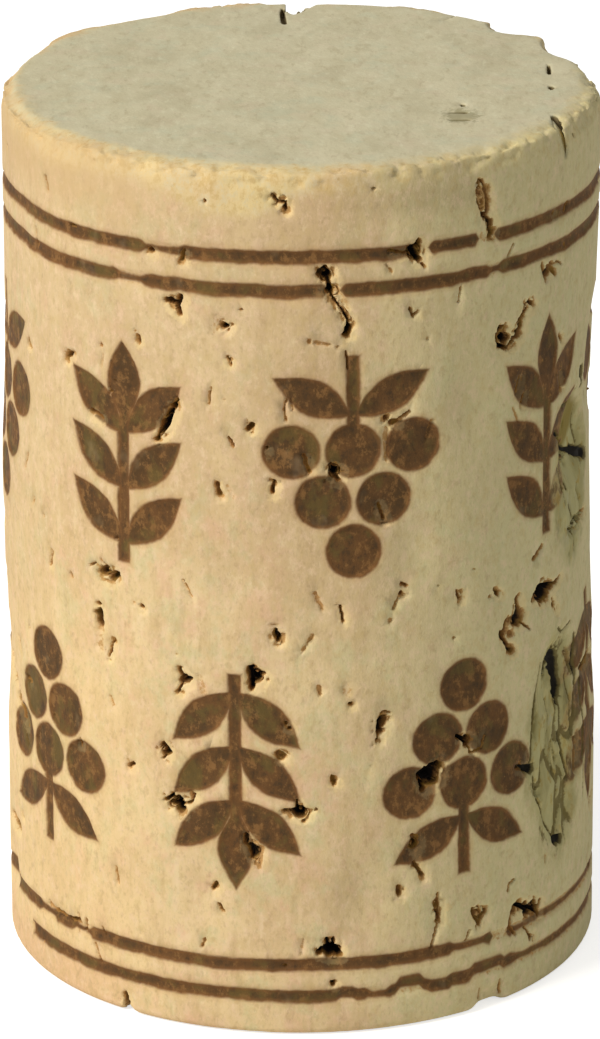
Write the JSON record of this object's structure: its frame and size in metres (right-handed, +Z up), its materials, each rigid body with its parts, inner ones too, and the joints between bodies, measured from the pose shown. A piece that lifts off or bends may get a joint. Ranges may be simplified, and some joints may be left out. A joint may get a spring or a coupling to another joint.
{
  "type": "wine cork",
  "caption": "Used natural wine cork: a straight bark cylinder with open pores, worn rims, and line pairs and vine motifs burnt in round the side.",
  "frame": {"origin": "centre of the bottom face", "axes": "+Z up along the cork's length, -Y to the front, and the bark's channels run along Y"},
  "size_m": [0.025, 0.025, 0.0375],
  "materials": {
    "cork": "dry matte natural cork with dark open pores and marks burnt in brown"
  },
  "bodies": {
    "root": {"cork": "cork"}
  },
  "joints": []
}
